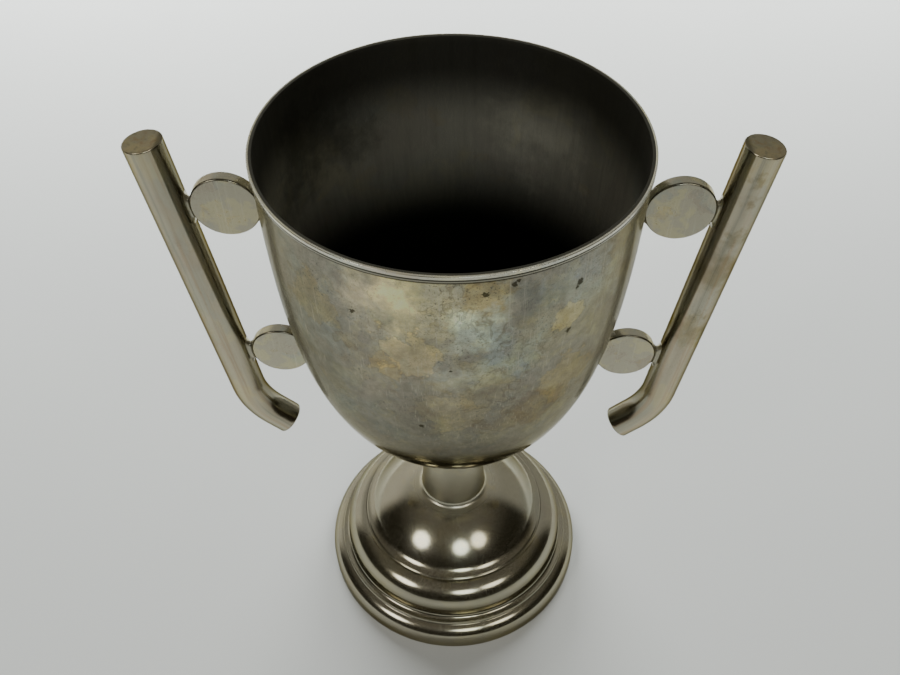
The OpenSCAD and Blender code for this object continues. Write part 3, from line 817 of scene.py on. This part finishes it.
# %% Satin bowl, outside
def satin_bowl():
    """Blotched plate. Film and placed patches colour it, and a few bright ones on the front are
    painted sheen. Mottling and pits darken it, hairlines brighten it, and painted shade darkens
    it towards its foot. The lathe's grooves run round it, so it is rougher across them, and a
    lamp becomes an upright streak."""
    material, tree, shader, at = metal(
        "satin_bowl", Anisotropic=0.80, Anisotropic_Rotation=0.25,
        Specular_Tint=(0.60, 0.57, 0.48, 1))
    height = part(tree, at, 2)
    film = use(tree, TARNISH, Vector=at, Size=38.0, Strength=0.55, Base=(0.315, 0.303, 0.250, 1))
    small = use(tree, TARNISH, Vector=at, Size=150.0, Strength=0.40, Base=film["Color"], Seed=0.61)
    colour = small["Color"]
    for centre, radius, softness, tint in FILM_PATCHES_AND_PAINTED_SHEEN:
        patch = patch_at(tree, at, centre, radius, softness)
        colour = tinted(tree, colour, patch["Mask"], tint)
        if softness < CRISP:
            colour = stained(tree, colour, patch["Edge"], 0.30, (0.19, 0.16, 0.11))
    pits = use(tree, PITS, Vector=at, Grain_Size=1900.0, Fleck_Size=85.0, Fleck_Share=0.08)
    lines = use(tree, HAIRLINES, Vector=at, Density=1.0)["Lines"]
    rings = use(tree, RINGS, Vector=at, Scale=2200.0)["Rings"]
    mottle = noise(tree, at, 420.0, 6.0, 0.70, 0.4)
    # painted shade: darker towards the bowl's foot and lighter near the mouth; the mottle is the
    # plate's own tone
    shade = stepped(tree, height, 0.080, 0.150, 0.82, 1.08)
    shade = times(tree, shade, stepped(tree, mottle, 0.36, 0.66, 0.88, 1.12))
    grey = put(tree, "CombineColor", {0: shade, 1: shade, 2: shade}).outputs[0]
    colour = mixed(tree, 1.0, colour, grey, "MULTIPLY")
    colour = stained(tree, colour, pits["Grain"], 0.75, (0.09, 0.09, 0.085))
    colour = stained(tree, colour, lines, 0.38, (0.62, 0.59, 0.48))
    tides = sums(tree, "MAXIMUM", film["Tide"], times(tree, small["Tide"], 0.8))
    colour = stained(tree, colour, tides, 0.65, (0.17, 0.13, 0.08))
    flecks = pits["Flecks"]
    for centre, radius in OLD_FLECKS:
        spot = patch_at(tree, at, centre, radius, 0.3)["Mask"]
        flecks = sums(tree, "MAXIMUM", flecks, spot)
    colour = stained(tree, colour, flecks, 0.85, (0.04, 0.035, 0.02))
    seam = sums(tree, "ABSOLUTE", sums(tree, "SUBTRACT", height, MM * (MOUTH_Z - WIRE_H - 0.25)))
    near_seam = stepped(tree, seam, 0.00045, 0.00020, 0.0, 0.9)
    colour = mixed(tree, near_seam, colour, (0.03, 0.028, 0.022, 1))
    speck = stepped(tree, noise(tree, at, 12000.0, 2.0, 0.6), 0.47, 0.56)
    upper = stepped(tree, height, 0.090, 0.101, 0.0, 0.85)
    broken = sums(tree, "MULTIPLY_ADD", film["Film"], 0.30, upper)
    plain = stepped(tree, height, 0.090, 0.101, 0.07, 0.13)
    rough = sums(tree, "MULTIPLY_ADD", times(tree, speck, broken), 0.40, plain)
    coat(tree, shader, colour, rough)
    tangent = put(tree, "Tangent", direction_type="RADIAL", axis="Z")
    tree.links.new(tangent.outputs[0], shader.inputs["Tangent"])
    marks = sums(tree, "MULTIPLY_ADD", rings, 0.5, times(tree, pits["Grain"], -0.6))
    bump(tree, shader, sums(tree, "SUBTRACT", marks, flecks), 0.06, 0.00002)
    return material


# %% Pale rim
def pale_rim():
    """The wire is rubbed bright on top, with small nicks, and has a dark line along its side."""
    material, tree, shader, at = metal("pale_rim")
    height = part(tree, at, 2)
    film = use(tree, TARNISH, Vector=at, Size=110.0, Strength=0.5,
               Base=(0.76, 0.74, 0.62, 1), Seed=0.19)
    pits = use(tree, PITS, Vector=at, Grain_Size=2300.0, Fleck_Size=160.0, Fleck_Share=0.18)
    colour = stained(tree, film["Color"], pits["Grain"], 0.45, (0.16, 0.14, 0.10))
    colour = stained(tree, colour, pits["Flecks"], 0.7, (0.07, 0.06, 0.04))
    line_z = MOUTH_Z - WIRE_H + 0.6
    low = stepped(tree, height, MM * (line_z + 0.15), MM * line_z)
    colour = mixed(tree, low, colour, (0.33, 0.315, 0.25, 1))
    away = sums(tree, "ABSOLUTE", sums(tree, "SUBTRACT", height, MM * line_z))
    on_line = stepped(tree, away, 0.00022, 0.00012, 0.0, 0.92)
    colour = mixed(tree, on_line, colour, (0.03, 0.028, 0.02, 1))
    coat(tree, shader, colour, sums(tree, "MULTIPLY_ADD", film["Film"], 0.10, 0.24))
    bump(tree, shader, times(tree, pits["Flecks"], -1.0), 0.3, 0.00004)
    return material


# %% Dark bowl, inside
# painted shade on the left of the inside wall and painted sheen on the right
INSIDE_PAINTED_SHADE_AND_SHEEN = [((-36, 19, 143), 22, (0.45, 0.45, 0.43)), ((22, 35, 141), 20, (1.45, 1.45, 1.45))]


def dark_inside():
    """The inside was never polished: a rough tarnish, with upright runs where it was rinsed and
    left to dry. Painted shade makes it black at the bottom and dark just under the rim, paler
    between, and two soft patches paint more shade on the left wall and a sheen on the right."""
    material, tree, shader, at = metal("dark_inside")
    height = part(tree, at, 2)
    film = use(tree, TARNISH, Vector=at, Size=45.0, Strength=0.35, Base=(0.60, 0.59, 0.51, 1))
    runs = noise(tree, stretched(tree, at, (240, 240, 16)), 1.0, 4.0, 0.6)
    pits = use(tree, PITS, Vector=at, Grain_Size=1500.0, Fleck_Size=70.0, Fleck_Share=0.10)
    # painted shade: deep makes the bottom black and high makes the wall just under the rim dark
    deep = stepped(tree, height, 0.106, 0.132, 1.0, 0.0)
    high = stepped(tree, height, 0.136, 0.153, 0.0, 0.88)
    pale_runs = stepped(tree, runs, 0.42, 0.66, 0.0, 0.45)
    colour = mixed(tree, pale_runs, film["Color"], (0.34, 0.335, 0.285, 1))
    for centre, radius, tint in INSIDE_PAINTED_SHADE_AND_SHEEN:
        colour = tinted(tree, colour, patch_at(tree, at, centre, radius, 0.9)["Mask"], tint)
    colour = mixed(tree, high, colour, (0.055, 0.054, 0.044, 1))
    colour = mixed(tree, deep, colour, (0.014, 0.017, 0.012, 1))
    colour = stained(tree, colour, pits["Flecks"], 0.7, (0.03, 0.03, 0.025))
    coat(tree, shader, colour, sums(tree, "MULTIPLY_ADD", runs, 0.20, 0.48))
    bump(tree, shader, sums(tree, "ADD", runs, pits["Grain"]), 0.2, 0.00004)
    return material


# %% Polished foot
def polished_foot():
    """Bright plate under a light brown film: a near mirror, with faint rings and a few hairlines.
    The stem is less polished, because the bowl keeps a cloth away from it, and it is painted paler,
    as a painted reflection of the bowl's lit underside."""
    material, tree, shader, at = metal("polished_foot", Specular_Tint=(0.40, 0.375, 0.30, 1))
    film = use(tree, TARNISH, Vector=at, Size=70.0, Strength=0.30, Base=(0.40, 0.375, 0.290, 1))
    pits = use(tree, PITS, Vector=at, Grain_Size=2600.0, Fleck_Size=110.0, Fleck_Share=0.06)
    lines = use(tree, HAIRLINES, Vector=at, Density=0.5)["Lines"]
    rings = use(tree, RINGS, Vector=at, Scale=1800.0)["Rings"]
    colour = stained(tree, film["Color"], pits["Grain"], 0.20, (0.20, 0.18, 0.13))
    colour = stained(tree, colour, pits["Flecks"], 0.6, (0.10, 0.08, 0.05))
    on_stem = stepped(tree, part(tree, at, 2), MM * (flare_z - 4.5), MM * (flare_z - 1.0))
    # painted reflection: the stem and collar are made paler, standing in for the bowl's lit
    # underside they reflect
    colour = tinted(tree, colour, on_stem, (1.42, 1.43, 1.45))
    smooth = stepped(tree, on_stem, 0.0, 1.0, 0.14, 0.31)
    rough = sums(tree, "MULTIPLY_ADD", film["Film"], 0.05, smooth)
    speck = stepped(tree, noise(tree, at, 12000.0, 2.0, 0.6), 0.56, 0.64)
    share = stepped(tree, on_stem, 0.0, 1.0, 0.20, 0.03)
    marks = times(tree, sums(tree, "ADD", lines, speck), share)
    coat(tree, shader, colour, sums(tree, "ADD", rough, marks))
    bump(tree, shader, rings, 0.08, 0.00002)
    return material


# %% Where the brown spots are on the bars, in mm
def on_bar(sign, s, y):
    """A point on the front of a bar, at a distance s down it."""
    centre, _ = centre_line(np.array([float(s)]))
    return (sign * centre[0, 0], y, centre[0, 1])


BROWN_SPOTS = [(on_bar(1, 6, -4), 2.6), (on_bar(1, 12, -4), 2.4), (on_bar(1, 22, -4), 3.2),
               (on_bar(1, 47, -4), 2.4), (on_bar(1, 33, -4), 9), (on_bar(1, 53, -3), 7),
               (on_bar(-1, 20, 4), 3.0), (on_bar(1, 60, 4), 3.4)]


# %% Drawn bar
def drawn_bar():
    """Satin bar with lengthwise streaks in warm and cool tones, and brown film in patches. The side
    that faces the bowl is painted darker, a painted dark reflection, and the cut ends are rougher."""
    material, tree, shader, at = metal("drawn_bar", Specular_Tint=(0.22, 0.20, 0.15, 1))
    along = put(tree, "Attribute", attribute_name="unbent").outputs["Vector"]
    streaks = use(tree, STREAKS, Vector=along)
    film = use(tree, TARNISH, Vector=stretched(tree, along, (1, 1, 0.45)), Size=95.0,
               Strength=0.45, Base=(0.52, 0.475, 0.36, 1))
    pits = use(tree, PITS, Vector=along, Grain_Size=2300.0, Fleck_Size=120.0, Fleck_Share=0.10)
    warm = stepped(tree, streaks["Bands"], 0.52, 0.66, 0.0, 0.85)
    cool = stepped(tree, streaks["Bands"], 0.46, 0.34, 0.0, 0.7)
    fine = stepped(tree, streaks["Lines"], 0.50, 0.75, 0.0, 0.25)
    colour = mixed(tree, warm, film["Color"], (0.46, 0.37, 0.26, 1))
    colour = mixed(tree, cool, colour, (0.34, 0.335, 0.275, 1))
    colour = mixed(tree, fine, colour, (0.64, 0.60, 0.47, 1))
    colour = stained(tree, colour, pits["Grain"], 0.30, (0.20, 0.17, 0.12))
    colour = stained(tree, colour, pits["Flecks"], 0.7, (0.08, 0.06, 0.04))
    for centre, radius in BROWN_SPOTS:
        spot = patch_at(tree, at, centre, radius, 0.8)["Mask"]
        colour = tinted(tree, colour, spot, (0.72, 0.69, 0.60))
    # painted dark reflection: the side of the bar that faces the bowl is darkened, standing in for
    # the dim room it reflects
    outer_side = sums(tree, "SIGN", part(tree, at, 0))
    outwards = times(tree, part(tree, along, 0), outer_side)
    inner = stepped(tree, outwards, MM * BAR_R * -0.58, MM * BAR_R * -0.84)
    colour = tinted(tree, colour, inner, (0.54, 0.55, 0.55))
    down_bar = part(tree, along, 2)
    from_middle = sums(tree, "ABSOLUTE", sums(tree, "SUBTRACT", down_bar, MM * bar_length / 2))
    cut = stepped(tree, from_middle, MM * (bar_length / 2 - 0.25), MM * (bar_length / 2 - 0.05))
    colour = tinted(tree, colour, cut, (0.82, 0.79, 0.73))
    rough = sums(tree, "MULTIPLY_ADD", film["Film"], 0.10, 0.17)
    coat(tree, shader, colour, sums(tree, "MULTIPLY_ADD", cut, 0.30, rough))
    marks = sums(tree, "ADD", streaks["Lines"], times(tree, pits["Grain"], -0.5))
    bump(tree, shader, marks, 0.2, 0.00003)
    return material


# %% Satin discs, solder and hidden fastenings
def satin_disc():
    """Like the bowl, but with smaller patches, and hand rubbed, so it has no rings. A dark band is
    painted on the rounded edge beside each face, as a painted dark reflection."""
    material, tree, shader, at = metal("satin_disc", Specular_Tint=(0.60, 0.56, 0.45, 1))
    film = use(tree, TARNISH, Vector=at, Size=105.0, Strength=0.66,
               Base=(0.47, 0.445, 0.35, 1), Seed=0.37)
    pits = use(tree, PITS, Vector=at, Grain_Size=2300.0, Fleck_Size=120.0, Fleck_Share=0.15)
    lines = use(tree, HAIRLINES, Vector=at, Density=0.9)["Lines"]
    colour = stained(tree, film["Color"], pits["Grain"], 0.40, (0.20, 0.18, 0.13))
    colour = stained(tree, colour, lines, 0.3, (0.74, 0.70, 0.55))
    colour = stained(tree, colour, pits["Flecks"], 0.8, (0.08, 0.06, 0.04))
    # painted dark reflection: a dark band round the rounded edge beside each face
    aside = sums(tree, "ABSOLUTE", part(tree, at, 1))
    past, short = stepped(tree, aside, 0.00105, 0.00120), stepped(tree, aside, 0.00150, 0.00140)
    colour = stained(tree, colour, times(tree, past, short), 0.75, (0.07, 0.06, 0.04))
    coat(tree, shader, colour, sums(tree, "MULTIPLY_ADD", film["Film"], 0.12, 0.22))
    bump(tree, shader, sums(tree, "SUBTRACT", lines, pits["Grain"]), 0.2, 0.00003)
    return material


def dull(name, base, rough, film_strength, lumps):
    """A dull metal: film, dark grain and a lumpy surface. Used for solder and for fastenings."""
    material, tree, shader, at = metal(name)
    film = use(tree, TARNISH, Vector=at, Size=240.0, Strength=film_strength, Base=base)
    pits = use(tree, PITS, Vector=at, Grain_Size=1900.0, Fleck_Size=300.0, Fleck_Share=0.3)
    dark = tuple(0.35 * c for c in base[:3]) + (1,)
    colour = mixed(tree, times(tree, pits["Grain"], 0.6), film["Color"], dark)
    colour = mixed(tree, times(tree, pits["Flecks"], 0.7), colour, dark)
    rough = sums(tree, "MULTIPLY_ADD", pits["Grain"], 0.2, rough)
    coat(tree, shader, colour, rough)
    bump(tree, shader, noise(tree, at, 420.0, 3.0), lumps, 0.0002)
    return material


SATIN_BOWL, PALE_RIM, DARK_INSIDE = satin_bowl(), pale_rim(), dark_inside()
POLISHED_FOOT, DRAWN_BAR, SATIN_DISC = polished_foot(), drawn_bar(), satin_disc()
SOLDER = dull("solder_neck", (0.44, 0.42, 0.33, 1), 0.30, 0.6, 0.5)
STEEL = dull("plain_steel", (0.36, 0.35, 0.33, 1), 0.38, 0.3, 0.1)
BRASS = dull("bare_brass", (0.52, 0.40, 0.20, 1), 0.35, 0.4, 0.1)
print("materials:", len(bpy.data.materials))

# %% Give every piece its finish
def paint(piece, *materials):
    """Replaces a piece's material slots."""
    piece.data.materials.clear()
    for material in materials:
        piece.data.materials.append(material)


for name, piece in SHOWN.items():
    if name.endswith("_coin"):
        paint(piece, SATIN_DISC)
    elif name.endswith("_solder"):
        paint(piece, SOLDER)
    elif name.endswith("_handle_bar"):
        paint(piece, DRAWN_BAR)
paint(rim, PALE_RIM)
paint(foot, POLISHED_FOOT)
paint(collar, POLISHED_FOOT)
paint(bowl, SATIN_BOWL, DARK_INSIDE)
rows = np.arange(len(bowl.data.polygons)) // BOWL_TURNS
is_inside = (rows >= rows_outside) & (rows != len(bowl_profile) - 1)
bowl.data.polygons.foreach_set("material_index", is_inside.astype(np.int32))
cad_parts["bowl_boss"].data.materials[0] = BRASS
for node in ("tie_stud", "cup_washer", "hex_nut"):
    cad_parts[node].data.materials[0] = STEEL

# %% [markdown]
# ## The floor and the light
# A pale matte table is lit from behind through a curtain, so it is brightest at the back left and
# its shadows are soft. Three round lamps in front are small enough to show as highlights on the
# polished foot. Metal shows nothing but its surroundings, so those get as much care as the metal.

# %% Floor
TABLE_R = 0.9
turn = np.arange(128) * 2 * np.pi / 128
edge = np.stack([TABLE_R * np.cos(turn), TABLE_R * np.sin(turn), 0 * turn], 1)
floor_mesh = bpy.data.meshes.new("table_top")
floor_mesh.from_pydata(edge.tolist(), [], [list(range(128))])
floor = bpy.data.objects.new("table_top", floor_mesh)
bpy.context.scene.collection.objects.link(floor)
table, tree, shader, at = metal("pale_table", Metallic=0.0, Specular_IOR_Level=0.3)
cloud = noise(tree, at, 9.0, 4.0, 0.5)
clouded = mixed(tree, cloud, (0.76, 0.76, 0.735, 1), (0.79, 0.79, 0.765, 1))
coat(tree, shader, clouded, sums(tree, "MULTIPLY_ADD", cloud, 0.1, 0.5))
floor_mesh.materials.append(table)


# %% Lamps
def lamp(name, azimuth, elevation, distance, diameter, radiance, warm, aim=(0, 0, 0.05),
         seen=True):
    """An area light on a sphere round the cup. Azimuth is measured from the front towards +X. The
    power of a round lamp is pi times its area times its radiance. An unseen lamp lights the table
    but leaves no highlight on the metal, as a large light beyond a curtain does."""
    az, el = np.radians([azimuth, elevation])
    aim = np.array(aim)
    towards = np.array([np.sin(az) * np.cos(el), -np.cos(az) * np.cos(el), np.sin(el)])
    place = aim + distance * towards
    light = bpy.data.lights.new(name, "AREA")
    light.shape, light.size = "DISK", diameter
    light.energy = float(np.pi * np.pi * diameter ** 2 / 4 * radiance)
    light.color = warm
    thing = bpy.data.objects.new(name, light)
    back = (place - aim) / np.linalg.norm(place - aim)
    side = np.cross([0, 0, 1], back)
    side /= np.linalg.norm(side)
    turned = np.column_stack([side, np.cross(back, side), back])
    thing.matrix_world = Matrix.Translation(place) @ Matrix(turned.tolist()).to_4x4()
    thing.visible_glossy, thing.visible_camera = seen, False
    bpy.context.scene.collection.objects.link(thing)
    return thing


lamp("lamp_left", -46.4, 35.4, 1.2, 0.40, 5.5, (1.0, 0.98, 0.92))
lamp("lamp_middle", 11.6, 39.0, 1.2, 0.36, 5.0, (0.94, 1.0, 0.99))
lamp("lamp_right", 39.9, 40.4, 1.2, 0.36, 4.0, (1.0, 0.98, 0.88))
lamp("curtain_back_left", -157.0, 26.6, 0.67, 0.50, 11.0, (0.95, 1.0, 1.0), (-0.05, 0.05, 0), False)
lamp("curtain_back_right", 157.0, 26.6, 0.67, 0.50, 8.8, (0.95, 1.0, 0.99), (0.05, 0.05, 0), False)

# %% [markdown]
# ## The room
# What polished metal shows is mostly the room. Here it is pale at both sides, dim in front, darkest
# at the two front corners, and soft above and behind. Only reflections see this room. The table is
# lit by a faint even sky instead, and past its edge the eye sees a plain pale backdrop.

# %% Build the room
world = bpy.data.worlds.new("room")
bpy.context.scene.world = world
world.use_nodes = True
tree = world.node_tree
direction = put(tree, "SeparateXYZ", {0: put(tree, "TexCoord").outputs["Generated"]})
x, y, z = direction.outputs
behind = stepped(tree, y, 0.15, 0.38)
side = stepped(tree, x, 0.25, -0.55)
pale = mixed(tree, side, (0.40, 0.40, 0.36, 1), (0.78, 0.77, 0.70, 1))
pale = mixed(tree, stepped(tree, z, 0.35, 0.65), pale, (0.38, 0.38, 0.35, 1))
dim = mixed(tree, stepped(tree, z, 0.35, 0.90), (0.026, 0.023, 0.015, 1), (0.16, 0.15, 0.125, 1))
room = mixed(tree, behind, dim, pale)
sky, backdrop = (0.045, 0.045, 0.043, 1), (0.62, 0.62, 0.61, 1)
path = put(tree, "LightPath").outputs
seen = mixed(tree, path["Is Camera Ray"], sky, backdrop)
seen = mixed(tree, path["Is Glossy Ray"], seen, room)
tree.links.new(seen, tree.nodes["Background"].inputs["Color"])
